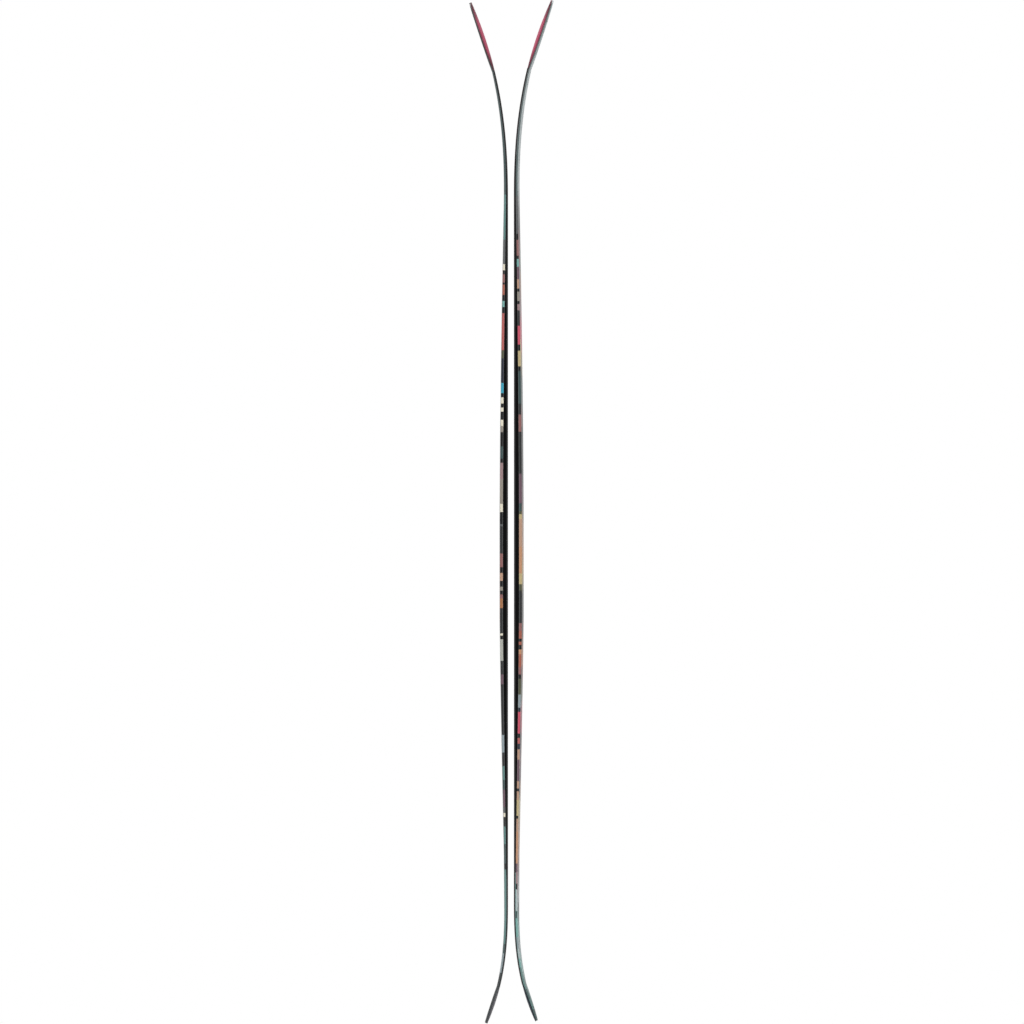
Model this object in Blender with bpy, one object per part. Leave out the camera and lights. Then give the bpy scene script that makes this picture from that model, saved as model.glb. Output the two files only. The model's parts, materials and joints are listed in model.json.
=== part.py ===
"""A pair of twin-tip freeride skis, set base to base with the tips up.

Run with: blender --background --python part.py   (Blender 4.5, metres, +Z up)

One ski is laid up in its own frame, and placed twice. In that frame
    z  runs along the ski, from 0 at the tail's end to LENGTH at the tip's end,
    y  runs across it, 0 on the centre line, with the front side at -Y and the back side at +Y,
    n  is the height above the running surface, towards the topsheet.
Every layer is lofted through the same stations, and runs straight between them, so layers that lie
on each other have facets that lie on each other too.

From the running surface up: base with steel edges, rubber foil, lower laminate, wood core between
two sidewalls with a plastic spacer at each end, binding plate, upper laminate, topsheet.
"""

import math
from bisect import bisect_right
from typing import NamedTuple

import bmesh
import bpy

# ---- Driving dimensions, in metres ----
LENGTH = 1.800  # tail to tip, measured straight
BASE_GAP = 0.0106  # between the two running surfaces of the pair
LEFT_TURN = math.radians(0.4)  # each ski stands turned a little, its topsheet towards -Y
RIGHT_TURN = math.radians(1.6)
RIGHT_RAISED = 0.004  # the right ski stands a little higher

# Plan outline
WAIST_WIDTH = 0.108
WAIST_AT = 0.780
TIP_FLARE = 0.0115  # half-width gained at TIP_FLARE_AT
TIP_FLARE_AT = 1.560
TAIL_FLARE = 0.007  # half-width gained at TAIL_FLARE_AT
TAIL_FLARE_AT = 0.225
TIP_ROUND = 0.300  # length over which the outline rounds off to the tip
TAIL_ROUND = 0.220
ROUND_POWER = 3.0
NOSE_CUT = 0.0003  # the outline's last sliver, squared off

# Side profile: how the running surface rises at each end
TIP_ROCKER = 0.353
TIP_RISE = 0.0640
TIP_POWER = 2.4
TAIL_ROCKER = 0.214
TAIL_RISE = 0.0360
TAIL_POWER = 2.6

# Thickness along the ski
MID_THICKNESS = 0.0141
PLATEAU_FROM = 0.712  # the level stretch that carries the binding
PLATEAU_TO = 0.880
FRONT_CONTACT = 1.444
FRONT_THICKNESS = 0.0067
FRONT_POWER = 1.6
REAR_CONTACT = 0.300
REAR_THICKNESS = 0.0066
REAR_POWER = 1.2
TIP_THICKNESS = 0.0044
TAIL_THICKNESS = 0.0048

# Layers, from the running surface up
GLUE = 0.0001  # resin line between two layers
JOINT = 0.0003  # gap between pieces that meet side by side or end to end
BASE_THICKNESS = 0.0015
FOIL = 0.0003  # also the thickness of the steel edge's anchor flange
LAMINATE = 0.0004
TOPSHEET = 0.0006
PLATE = 0.0005
FOIL_LEVEL = BASE_THICKNESS + GLUE
EDGE_HEIGHT = FOIL_LEVEL + FOIL
LOWER_LEVEL = EDGE_HEIGHT + GLUE
CORE_LEVEL = LOWER_LEVEL + LAMINATE + GLUE
UPPER_DEPTH = TOPSHEET + GLUE  # depths below the ski's top surface
CORE_DEPTH = UPPER_DEPTH + LAMINATE + GLUE

# Steel edges, and the bevelled wings that take over from them at both ends
EDGE_WIDTH = 0.0021
FLANGE_WIDTH = 0.0044
TIP_WING_AT = 1.680
TAIL_WING_AT = 0.064
TIP_WING_WIDTH = 0.0150
TAIL_WING_WIDTH = 0.0110
WING_SHARE = 0.60  # the wing's largest share of the half-width
TIP_LIFT = 0.0039  # how far the outline lifts off the flat of the running surface, at most
TAIL_LIFT = 0.0022
LIFT_POWER = 0.7  # the lift swells and fades along the wing as this power of a sine

# Sidewalls, core and the cap that folds down onto them
CORE_FROM = 0.262
CORE_TO = 1.528
SIDEWALL_WIDTH = 0.0070
CAP_FOLD = 0.0011  # the cap's side is this tall, plus CAP_SHARE of the thickness
CAP_SHARE = 0.284
CAP_CLEARANCE = 0.0031  # but leaves this much below it, for the edge and the sidewall
CAP_FOLD_LEAST = 0.0015
CAP_SLANT = 0.45  # the cap's side leans in by this share of its height
STRINGER_SPLITS = (0.0120, 0.0280)  # the core's glue joints, from the centre line
PLATE_FROM = 0.560
PLATE_TO = 1.040
PLATE_STEP = 0.002  # length over which the core steps down under the plate

# Steps between stations
TAIL_END_STEPS = 9
TIP_END_STEPS = 12
SPAN_STEPS = (
    (TAIL_WING_AT, CORE_FROM, 4),
    (CORE_FROM, PLATEAU_FROM, 6),
    (PLATEAU_FROM, PLATEAU_TO, 1),
    (PLATEAU_TO, FRONT_CONTACT, 6),
    (FRONT_CONTACT, TIP_WING_AT, 7),
)

# Colour, roughness and metallic value of each finish
FINISHES = {
    "base": ((0.012, 0.012, 0.014), 0.45, 0.0),
    "tip_inlay": ((0.48, 0.08, 0.15), 0.45, 0.0),
    "tail_inlay": ((0.16, 0.15, 0.17), 0.45, 0.0),
    "edge": ((0.30, 0.30, 0.31), 0.35, 1.0),
    "foil": ((0.02, 0.02, 0.02), 0.90, 0.0),
    "laminate": ((0.45, 0.47, 0.38), 0.50, 0.0),
    "core": ((0.62, 0.45, 0.26), 0.75, 0.0),
    "stringer": ((0.42, 0.26, 0.12), 0.75, 0.0),
    "sidewall": ((0.010, 0.010, 0.011), 0.50, 0.0),
    "spacer": ((0.10, 0.13, 0.13), 0.60, 0.0),
    "plate": ((0.55, 0.56, 0.58), 0.35, 1.0),
    "topsheet": ((0.20, 0.24, 0.23), 0.30, 0.0),
}


class Shape(NamedTuple):
    """The ski's form at one place along it."""

    width: float  # half-width of the outline
    rise: float  # of the running surface
    up: float  # the n direction, across the pair
    along: float  # and along the ski
    thick: float
    fold: float  # height of the cap's side
    wing: float  # width of the bevelled wing
    lift: float  # of the outline, at the wing's rim


def rounded(distance, length):
    """Share of the full width at this distance from the end."""
    near = 1.0 - min(max(distance, NOSE_CUT) / length, 1.0)
    return math.sqrt(1.0 - near**ROUND_POWER)


def half_width(z):
    ahead = z > WAIST_AT
    flare, flare_at = (TIP_FLARE, TIP_FLARE_AT) if ahead else (TAIL_FLARE, TAIL_FLARE_AT)
    full = WAIST_WIDTH / 2 + flare * ((z - WAIST_AT) / (flare_at - WAIST_AT)) ** 2
    return full * rounded(z, TAIL_ROUND) * rounded(LENGTH - z, TIP_ROUND)


def rise_and_slope(z):
    """Height of the running surface, and its slope towards the tip."""
    into_tip = (z - (LENGTH - TIP_ROCKER)) / TIP_ROCKER
    into_tail = (TAIL_ROCKER - z) / TAIL_ROCKER
    if into_tip > 0.0:
        return TIP_RISE * into_tip**TIP_POWER, TIP_RISE / TIP_ROCKER * TIP_POWER * into_tip ** (TIP_POWER - 1)
    if into_tail > 0.0:
        slope = -TAIL_RISE / TAIL_ROCKER * TAIL_POWER * into_tail ** (TAIL_POWER - 1)
        return TAIL_RISE * into_tail**TAIL_POWER, slope
    return 0.0, 0.0


def thickness(z):
    if z > FRONT_CONTACT:
        share = min((z - FRONT_CONTACT) / (TIP_WING_AT - FRONT_CONTACT), 1.0)
        return FRONT_THICKNESS + (TIP_THICKNESS - FRONT_THICKNESS) * share
    if z < REAR_CONTACT:
        return REAR_THICKNESS + (TAIL_THICKNESS - REAR_THICKNESS) * (1.0 - z / REAR_CONTACT)
    if z > PLATEAU_TO:
        share = (z - PLATEAU_TO) / (FRONT_CONTACT - PLATEAU_TO)
        return MID_THICKNESS + (FRONT_THICKNESS - MID_THICKNESS) * share**FRONT_POWER
    share = max(PLATEAU_FROM - z, 0.0) / (PLATEAU_FROM - REAR_CONTACT)
    return MID_THICKNESS + (REAR_THICKNESS - MID_THICKNESS) * share**REAR_POWER


def wing_lift(z):
    """Lift of the outline: none where the wing begins, none at the ski's very end."""
    most, share = 0.0, 0.0
    if z > TIP_WING_AT:
        most, share = TIP_LIFT, (LENGTH - z) / (LENGTH - TIP_WING_AT)
    elif z < TAIL_WING_AT:
        most, share = TAIL_LIFT, z / TAIL_WING_AT
    return most * max(math.sin(math.pi * share), 0.0) ** LIFT_POWER


def shape_of(z):
    """The ski's true form at z."""
    width, thick = half_width(z), thickness(z)
    rise, slope = rise_and_slope(z)
    fold = max(min(CAP_FOLD + CAP_SHARE * thick, thick - CAP_CLEARANCE), CAP_FOLD_LEAST)
    wing = min(TIP_WING_WIDTH if z > WAIST_AT else TAIL_WING_WIDTH, WING_SHARE * width)
    lean = math.atan(slope)
    return Shape(width, rise, math.cos(lean), -math.sin(lean), thick, fold, wing, wing_lift(z))


def station_places():
    """Where every layer has a section: closer together where the outline is round."""
    tail = [TAIL_WING_AT * (k / TAIL_END_STEPS) ** 2 for k in range(TAIL_END_STEPS)]
    tip = [LENGTH - (LENGTH - TIP_WING_AT) * (k / TIP_END_STEPS) ** 2 for k in range(TIP_END_STEPS + 1)]
    spans = [low + (high - low) * k / steps for low, high, steps in SPAN_STEPS for k in range(steps)]
    return tail + spans + tip[::-1]


PLACES = station_places()
SHAPES = [shape_of(z) for z in PLACES]


def shape_at(z):
    """The facetted ski's form at z: straight between two stations."""
    i = min(bisect_right(PLACES, z), len(PLACES) - 1)
    share = (z - PLACES[i - 1]) / (PLACES[i] - PLACES[i - 1])
    return Shape(*(a + (b - a) * share for a, b in zip(SHAPES[i - 1], SHAPES[i])))


# ---- Sections, as (y, n) outlines ----


def mirrored(half):
    """A whole outline from its +Y half, which runs from the lower to the upper side."""
    return half + [(-y, n) for y, n in reversed(half)]


def wing_y(shape):
    return shape.width - shape.wing


def fold_line(shape, depth):
    """Foot and shoulder of the cap, this deep below its outer surface."""
    slant = CAP_SLANT * shape.fold
    foot = shape.width - depth * math.hypot(1.0, CAP_SLANT)
    shoulder = foot - slant * (shape.fold - depth) / shape.fold
    return (foot, shape.thick - shape.fold), (shoulder, shape.thick - depth)


def band(reach, low, high):
    """A flat layer from side to side."""
    return mirrored([(reach, low), (reach, high)])


def winged_band(shape, reach, low, high):
    """A flat layer with a crease at each wing."""
    crease = wing_y(shape)
    return mirrored([(crease, low), (reach, low), (reach, high), (crease, high)])


def base_section(shape, z):
    return band(shape.width - EDGE_WIDTH - JOINT, 0.0, BASE_THICKNESS)


def inlay_section(shape, z):
    return winged_band(shape, shape.width, 0.0, EDGE_HEIGHT)


def edge_section(shape, z):
    wide, inner, flange = shape.width, shape.width - EDGE_WIDTH, shape.width - FLANGE_WIDTH
    return [
        (inner, 0.0), (wide, 0.0), (wide, EDGE_HEIGHT),
        (flange, EDGE_HEIGHT), (flange, FOIL_LEVEL), (inner, FOIL_LEVEL),
    ]  # fmt: skip


def foil_section(shape, z):
    return band(shape.width - FLANGE_WIDTH - JOINT, FOIL_LEVEL, EDGE_HEIGHT)


def lower_laminate_section(shape, z):
    return winged_band(shape, shape.width, LOWER_LEVEL, LOWER_LEVEL + LAMINATE)


def under_cap(shape):
    """The stretch of an outline that runs up the side and under the cap's foot and shoulder."""
    foot, shoulder = fold_line(shape, CORE_DEPTH)
    ledge = foot[1] - GLUE
    return [(shape.width, CORE_LEVEL), (shape.width, ledge), (foot[0], ledge), shoulder]


def spacer_section(shape, z):
    crease = wing_y(shape)
    top = shape.thick - CORE_DEPTH
    return mirrored([(crease, CORE_LEVEL), *under_cap(shape), (crease, top)])


def sidewall_section(shape, z):
    inner = shape.width - SIDEWALL_WIDTH
    return [(inner, CORE_LEVEL), *under_cap(shape), (inner, shape.thick - CORE_DEPTH)]


def core_section(inner, outer):
    """One strip of the core, between two distances from the centre line; outer may be None."""

    def section(shape, z):
        plated = PLATE_FROM <= z <= PLATE_TO
        top = shape.thick - CORE_DEPTH - (PLATE + GLUE if plated else 0.0)
        reach = outer or shape.width - SIDEWALL_WIDTH
        return [(inner, CORE_LEVEL), (reach - JOINT, CORE_LEVEL), (reach - JOINT, top), (inner, top)]

    return section


def plate_section(shape, z):
    top = shape.thick - CORE_DEPTH
    return band(shape.width - SIDEWALL_WIDTH - JOINT, top - PLATE, top)


def cap_section(outer_depth, inner_depth):
    """A layer that follows the ski's top and folds down at both sides."""

    def section(shape, z):
        crease = wing_y(shape)
        foot, shoulder = fold_line(shape, outer_depth)
        inner_foot, inner_shoulder = fold_line(shape, inner_depth)
        inside = [(crease, inner_shoulder[1]), inner_shoulder, inner_foot]
        return mirrored([*inside, foot, shoulder, (crease, shoulder[1])])

    return section


# ---- Solids ----


def bend(shape, z, y, n):
    """The point of the curved ski at (y, n), with the pair's X direction first."""
    across_wing = max(abs(y) - wing_y(shape), 0.0) / shape.wing
    height = n + shape.lift * across_wing
    return (shape.rise + height * shape.up, y, z + height * shape.along)


def skin(mesh, low, high):
    """Triangles between two rings, all split the same way whichever layer they belong to."""
    for i in range(len(low)):
        a, b, c, d = low[i - 1], low[i], high[i], high[i - 1]
        if abs(a.co.y) > abs(b.co.y):
            mesh.faces.new((a, b, c))
            mesh.faces.new((a, c, d))
        else:
            mesh.faces.new((a, b, d))
            mesh.faces.new((b, c, d))


def loft(ski, name, finish, section, start=0.0, end=LENGTH, side=1, extra=()):
    """One closed piece through its section at every station from start to end."""
    places = sorted({start, end, *extra, *(z for z in PLACES if start < z < end)})
    mesh = bmesh.new()
    rings = []
    for z in places:
        shape = shape_at(z)
        points = [bend(shape, z, side * y, n) for y, n in section(shape, z)]
        rings.append([mesh.verts.new((ski.side * x, y, z)) for x, y, z in points])
    for low, high in zip(rings, rings[1:]):
        skin(mesh, low, high)
    mesh.faces.new(rings[0])
    mesh.faces.new(rings[-1])
    bmesh.ops.recalc_face_normals(mesh, faces=mesh.faces)
    data = bpy.data.meshes.new(f"{ski.name}_{name}")
    mesh.to_mesh(data)
    mesh.free()
    piece = bpy.data.objects.new(data.name, data)
    piece.parent = ski.holder
    bpy.context.scene.collection.objects.link(piece)
    data.materials.append(principled(data.name, *FINISHES[finish]))


def principled(name, colour, roughness, metallic):
    material = bpy.data.materials.new(name)
    material.use_nodes = True
    shader = material.node_tree.nodes["Principled BSDF"]
    shader.inputs["Base Color"].default_value = (*colour, 1.0)
    shader.inputs["Roughness"].default_value = roughness
    shader.inputs["Metallic"].default_value = metallic
    return material


# ---- The two skis ----


class Ski(NamedTuple):
    name: str
    side: int  # -1 stands at -X, 1 at +X
    holder: bpy.types.Object


def stand(name, side, turn, raised):
    """An empty that holds one ski in its place in the pair."""
    holder = bpy.data.objects.new(f"{name}_ski_place", None)
    holder.location = (side * (BASE_GAP / 2 + math.sin(turn) * WAIST_WIDTH / 2), 0.0, raised)
    holder.rotation_euler = (0.0, 0.0, -side * turn)
    bpy.context.scene.collection.objects.link(holder)
    return Ski(name, side, holder)


def running_surface(ski):
    """Base sheet, the inlays at both ends, steel edges and the foil between their flanges."""
    loft(ski, "base", "base", base_section, TAIL_WING_AT, TIP_WING_AT)
    loft(ski, "tip_inlay", "tip_inlay", inlay_section, TIP_WING_AT + JOINT, LENGTH)
    loft(ski, "tail_inlay", "tail_inlay", inlay_section, 0.0, TAIL_WING_AT - JOINT)
    loft(ski, "rubber_foil", "foil", foil_section, TAIL_WING_AT, TIP_WING_AT)
    for name, side in (("front", -1), ("back", 1)):
        loft(ski, f"steel_edge_{name}", "edge", edge_section, TAIL_WING_AT, TIP_WING_AT, side)


def inner_body(ski):
    """Lower laminate, core strips, sidewalls, spacers, binding plate and upper laminate."""
    loft(ski, "lower_laminate", "laminate", lower_laminate_section)
    steps = (PLATE_FROM - PLATE_STEP, PLATE_FROM, PLATE_TO, PLATE_TO + PLATE_STEP)
    first, second = STRINGER_SPLITS
    centre = core_section(-first + JOINT, first)
    loft(ski, "core_centre", "core", centre, CORE_FROM, CORE_TO, 1, steps)
    for name, side in (("front", -1), ("back", 1)):
        stringer, outer = core_section(first, second), core_section(second, None)
        loft(ski, f"core_stringer_{name}", "stringer", stringer, CORE_FROM, CORE_TO, side, steps)
        loft(ski, f"core_outer_{name}", "core", outer, CORE_FROM, CORE_TO, side, steps)
        loft(ski, f"sidewall_{name}", "sidewall", sidewall_section, CORE_FROM, CORE_TO, side)
    loft(ski, "tip_spacer", "spacer", spacer_section, CORE_TO + JOINT, LENGTH)
    loft(ski, "tail_spacer", "spacer", spacer_section, 0.0, CORE_FROM - JOINT)
    loft(ski, "binding_plate", "plate", plate_section, PLATE_FROM + JOINT, PLATE_TO - JOINT)
    loft(ski, "upper_laminate", "laminate", cap_section(UPPER_DEPTH, UPPER_DEPTH + LAMINATE))


def topsheet(ski):
    loft(ski, "topsheet", "topsheet", cap_section(0.0, TOPSHEET))


def clear_scene():
    for item in list(bpy.data.objects):
        bpy.data.objects.remove(item, do_unlink=True)


def main():
    clear_scene()
    for ski in (stand("left", -1, LEFT_TURN, 0.0), stand("right", 1, RIGHT_TURN, RIGHT_RAISED)):
        running_surface(ski)
        inner_body(ski)
        topsheet(ski)


main()
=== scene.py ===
"""Looks for a pair of freeride skis: every outer layer is lofted again, finely, from the rules that shape
the ski, and every surface gets its printed, milled, ground or woven finish."""

import json
import math
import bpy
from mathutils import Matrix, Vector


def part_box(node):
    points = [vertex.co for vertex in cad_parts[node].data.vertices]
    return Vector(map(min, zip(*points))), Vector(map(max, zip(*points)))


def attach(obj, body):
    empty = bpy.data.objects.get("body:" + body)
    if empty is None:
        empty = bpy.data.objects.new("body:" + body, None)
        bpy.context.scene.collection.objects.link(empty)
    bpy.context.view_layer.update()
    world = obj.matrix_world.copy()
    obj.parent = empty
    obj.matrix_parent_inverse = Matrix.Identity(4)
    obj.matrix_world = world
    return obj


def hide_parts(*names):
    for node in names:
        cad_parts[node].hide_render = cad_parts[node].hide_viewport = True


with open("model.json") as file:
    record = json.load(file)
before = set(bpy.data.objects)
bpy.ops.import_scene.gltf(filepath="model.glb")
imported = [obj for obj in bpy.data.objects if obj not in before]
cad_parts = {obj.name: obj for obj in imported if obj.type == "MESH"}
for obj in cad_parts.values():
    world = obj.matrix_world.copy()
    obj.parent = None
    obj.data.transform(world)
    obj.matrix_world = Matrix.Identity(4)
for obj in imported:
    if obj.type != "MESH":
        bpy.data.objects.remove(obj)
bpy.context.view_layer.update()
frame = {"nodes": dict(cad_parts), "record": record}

from types import SimpleNamespace

import bmesh
import bpy
from bpy.props import FloatProperty, FloatVectorProperty, PointerProperty
from bpy.types import Operator, Panel, PropertyGroup
from mathutils import Vector

bl_info = {
    "name": "Freeride Skis",
    "version": (1, 0, 0),
    "blender": (4, 5, 0),
    "location": "3D View > Sidebar > Skis",
    "description": "Lofts a pair of layered skis and gives them their finishes",
    "category": "Add Mesh",
}

# ---- What the frame says ----
TIP_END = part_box("left_tip_inlay")[1].z
BASE_LOW, BASE_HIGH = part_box("left_base")
SIDES = {"left": -1, "right": 1}
EDGES = {"front": -1, "back": 1}  # of each ski
MOUNTS = {mount["name"]: mount for mount in frame["record"]["mounts"]}
SEATS = {ski: MOUNTS[f"{ski}_binding_seat"] for ski in SIDES}  # the flat over each binding plate
TURNS = {ski: math.asin(-SEATS[ski]["axis"][1]) for ski in SIDES}  # topsheets turned towards -Y
RAISED = {"left": 0.0, "right": SEATS["right"]["pos_m"][2] - SEATS["left"]["pos_m"][2]}
WAIST = 0.108
BASE_GAP = 0.0106  # between the two running surfaces
OFFSETS = {ski: BASE_GAP / 2 + math.sin(TURNS[ski]) * WAIST / 2 for ski in SIDES}
MIDDLE = (abs(SEATS["left"]["pos_m"][0]) - OFFSETS["left"]) / math.cos(TURNS["left"])

ALONG_STEPS = 220  # sections along a whole ski
LEAST_STEPS = 24  # and along its shortest layer
WELD = 1e-6  # points closer than this are one
CRISP = math.radians(32)  # faces that meet at more than this keep a sharp edge
ZONE_TOP, ZONE_SIDE, ZONE_LIP, ZONE_CUT = 0.0, 1.0, 2.0, 3.0
OFF_TOP, OFF_SIDE = 0.5, 1.5  # a zone above these is no longer the top, or no longer the side
RULES = (("across", "FLOAT_VECTOR"), ("height", "FLOAT_VECTOR"), ("zone", "FLOAT"))  # on a section's points


# ---- Sizes and colours that a user may change ----


def metres(label, default, about):
    return FloatProperty(name=label, description=about, default=default, unit="LENGTH", precision=4)


def plain(label, default, about):
    return FloatProperty(name=label, description=about, default=default)


def colour(label, default, about):
    return FloatVectorProperty(name=label, description=about, default=default, subtype="COLOR", min=0, max=1)


class SkiForm(PropertyGroup):
    """Sizes that shape one ski"""

    length: metres("Length", TIP_END, "Tail to tip, measured straight")
    waist: metres("Waist Width", WAIST, "Full width at the narrowest place")
    waist_at: metres("Waist Place", 0.780, "Distance of the waist from the tail")
    tip_flare: metres("Tip Flare", 0.0114, "Half-width gained at the tip's widest place")
    tip_flare_at: metres("Tip Flare Place", 1.560, "Where the tip has gained its flare")
    tail_flare: metres("Tail Flare", 0.007, "Half-width gained at the tail's widest place")
    tail_flare_at: metres("Tail Flare Place", 0.225, "Where the tail has gained its flare")
    tip_round: metres("Tip Rounding", 0.300, "Length over which the outline closes at the tip")
    tail_round: metres("Tail Rounding", 0.220, "Length over which the outline closes at the tail")
    round_power: plain("Rounding Power", 3.0, "Higher is blunter")
    nose_cut: metres("Nose Cut", 0.00006, "Last sliver of the outline, squared off")
    tip_rocker: metres("Tip Rocker Length", 0.353, "Length of the turned-up tip")
    tip_rise: metres("Tip Rise", 0.0640, "Height of the turned-up tip")
    tip_power: plain("Tip Curve", 2.4, "Power of the tip's rise")
    tail_rocker: metres("Tail Rocker Length", 0.214, "Length of the turned-up tail")
    tail_rise: metres("Tail Rise", 0.0360, "Height of the turned-up tail")
    tail_power: plain("Tail Curve", 2.6, "Power of the tail's rise")
    middle: metres("Middle Thickness", MIDDLE, "Thickness of the level stretch")
    level_from: metres("Level Stretch Start", 0.712, "Tail side of the level stretch")
    level_to: metres("Level Stretch End", 0.880, "Tip side of the level stretch")
    front_at: metres("Front Contact Place", 1.444, "Where the tip begins to rise")
    front: metres("Front Contact Thickness", 0.0067, "Thickness there")
    front_power: plain("Front Taper", 1.6, "Power of the thinning towards the tip")
    rear_at: metres("Rear Contact Place", 0.300, "Where the tail's taper ends")
    rear: metres("Rear Contact Thickness", 0.0066, "Thickness there")
    rear_power: plain("Rear Taper", 1.2, "Power of the thinning towards the tail")
    tip: metres("Tip Thickness", 0.0044, "Thickness of the tip")
    tail: metres("Tail Thickness", 0.0048, "Thickness of the tail's end")
    cap_fold: metres("Cap Side Height", 0.0011, "Height of the folded side of the cap, at no thickness")
    cap_share: plain("Cap Side Growth", 0.284, "Share of the thickness added to it")
    cap_clearance: metres("Below Cap", 0.0031, "Least height left under the cap for edge and sidewall")
    cap_least: metres("Least Cap Side", 0.0015, "Least height of the cap's side")
    tip_wing: metres("Tip Wing Width", 0.0150, "Width of the bevelled rim of the tip")
    tail_wing: metres("Tail Wing Width", 0.0110, "Width of the bevelled rim of the tail")
    wing_share: plain("Wing Share", 0.60, "The wing's largest share of the half-width")
    tip_wing_at: metres("Tip Wing Start", BASE_HIGH.z, "Where the tip's bevelled rim begins")
    tail_wing_at: metres("Tail Wing Start", BASE_LOW.z, "Where the tail's bevelled rim begins")
    tip_lift: metres("Tip Lift", 0.0039, "How far the tip's rim lifts off the running surface")
    tail_lift: metres("Tail Lift", 0.0022, "How far the tail's rim lifts off the running surface")
    lift_power: plain("Lift Power", 0.7, "How soon the lift swells")


class SkiLayers(PropertyGroup):
    """Sizes of the layers in a ski's section"""

    glue: metres("Resin Line", 0.0001, "Between two layers; the laminates are drawn with it")
    joint: metres("Joint", 0.0003, "Gap between pieces side by side")
    base: metres("Base Thickness", 0.0015, "Running sheet")
    foil: metres("Foil Thickness", 0.0003, "Damping foil and edge flange")
    laminate: metres("Laminate Thickness", 0.0004, "Each glass fibre layer")
    topsheet: metres("Topsheet Thickness", 0.0006, "Printed layer")
    edge: metres("Edge Width", 0.0021, "Steel seen from below")
    flange: metres("Flange Width", 0.0044, "Steel with its anchor flange")
    sidewall: metres("Sidewall Width", 0.0070, "Outline to core")
    slant: plain("Cap Slant", 0.45, "How far the cap's side leans in, as a share of its height")
    core_from: metres("Core Start", 0.262, "Tail end of the core and sidewalls")
    core_to: metres("Core End", 1.528, "Tip end of the core and sidewalls")
    chamfer: metres("Chamfer", 0.00025, "Broken corners of milled and ground edges")
    shoulder: metres("Shoulder Radius", 0.0009, "Rounding of the cap's shoulder")
    # The lip is drawn pale, partly as a painted highlight along the cap's foot
    lip: metres("Cut Lip", 0.0008, "Height of the pale cut edge at the cap's foot")


class SkiColours(PropertyGroup):
    """Colours of the finishes and of the printed patches"""

    base: colour("Base", (0.006, 0.006, 0.007), "Sintered running sheet")
    crimson: colour("Tip Inlay", (0.45, 0.068, 0.130), "Base sheets of the tips")
    ash: colour("Left Tail Inlay", (0.20, 0.195, 0.215), "Base sheet of the left tail")
    blue: colour("Right Tail Inlay", (0.042, 0.061, 0.080), "Base sheet of the right tail")
    # Painted shade: the steel is set near black, the dark the ground edge shows in shade
    steel: colour("Steel", (0.050, 0.050, 0.052), "Ground edges")
    black: colour("Black Plastic", (0.002, 0.002, 0.0022), "Sidewalls and laminate rims")
    glass: colour("Glass Fibre", (0.36, 0.38, 0.30), "Laminate in resin")
    wood: colour("Light Wood", (0.62, 0.45, 0.26), "Core strips")
    dark_wood: colour("Dark Wood", (0.42, 0.26, 0.12), "Stringers")
    metal: colour("Plate", (0.55, 0.56, 0.58), "Binding plate")
    rubber: colour("Rubber", (0.02, 0.02, 0.02), "Damping foil")
    # The cut lip's paleness is partly the cut edge and partly a painted highlight: the bright line light
    # draws along the cap's foot
    cut: colour("Cut Lip", (0.42, 0.43, 0.43), "Pale cut edge of the topsheet")


# ---- The printed graphic: where each patch begins, in metres from the tail, and its ink ----

INKS = {
    "ink": (0.004, 0.004, 0.005),
    "graphite": (0.024, 0.025, 0.026),
    "navy": (0.018, 0.021, 0.034),
    "slate": (0.095, 0.100, 0.103),
    "petrol": (0.040, 0.070, 0.070),
    "teal": (0.100, 0.205, 0.192),
    "light teal": (0.165, 0.365, 0.335),
    "cyan": (0.036, 0.310, 0.430),
    "haze": (0.240, 0.290, 0.310),
    "mint": (0.230, 0.340, 0.290),
    "mist": (0.370, 0.440, 0.445),
    "sage": (0.370, 0.376, 0.340),
    "cream": (0.680, 0.640, 0.520),
    "khaki": (0.460, 0.370, 0.190),
    "olive": (0.075, 0.078, 0.045),
    "taupe": (0.260, 0.235, 0.200),
    "tan": (0.440, 0.270, 0.185),
    "orange": (0.480, 0.250, 0.140),
    "brown": (0.340, 0.150, 0.065),
    "terracotta": (0.330, 0.100, 0.066),
    "coral": (0.400, 0.105, 0.095),
    "crimson": (0.520, 0.075, 0.120),
    "rose": (0.245, 0.110, 0.105),
    "dusty": (0.290, 0.190, 0.195),
    "plum": (0.130, 0.078, 0.100),
}

LEFT_GRAPHIC = (
    (0.000, "graphite"), (0.086, "haze"), (0.121, "petrol"), (0.139, "teal"), (0.271, "ink"),
    (0.281, "petrol"), (0.315, "teal"), (0.347, "graphite"), (0.361, "cream"), (0.371, "slate"),
    (0.381, "plum"), (0.410, "petrol"), (0.429, "teal"), (0.452, "graphite"), (0.477, "haze"),
    (0.507, "graphite"), (0.597, "plum"), (0.613, "graphite"), (0.637, "sage"), (0.674, "ink"),
    (0.681, "cream"), (0.685, "graphite"), (0.732, "brown"), (0.748, "rose"), (0.754, "ink"),
    (0.761, "taupe"), (0.768, "ink"), (0.777, "tan"), (0.792, "ink"), (0.801, "rose"), (0.826, "graphite"),
    (0.875, "slate"), (0.880, "ink"), (0.900, "cream"), (0.914, "ink"), (0.916, "taupe"), (0.958, "dusty"),
    (0.986, "ink"), (0.993, "petrol"), (1.014, "ink"), (1.041, "taupe"), (1.053, "cream"), (1.062, "ink"),
    (1.077, "cream"), (1.083, "ink"), (1.090, "cream"), (1.103, "ink"), (1.108, "cyan"), (1.129, "navy"),
    (1.171, "olive"), (1.184, "coral"), (1.249, "ink"), (1.259, "light teal"), (1.273, "ink"),
    (1.282, "terracotta"), (1.300, "ink"), (1.303, "rose"), (1.317, "ink"), (1.326, "cream"),
    (1.335, "slate"), (1.381, "teal"), (1.458, "petrol"), (1.688, "ink"),
)  # fmt: skip

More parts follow.
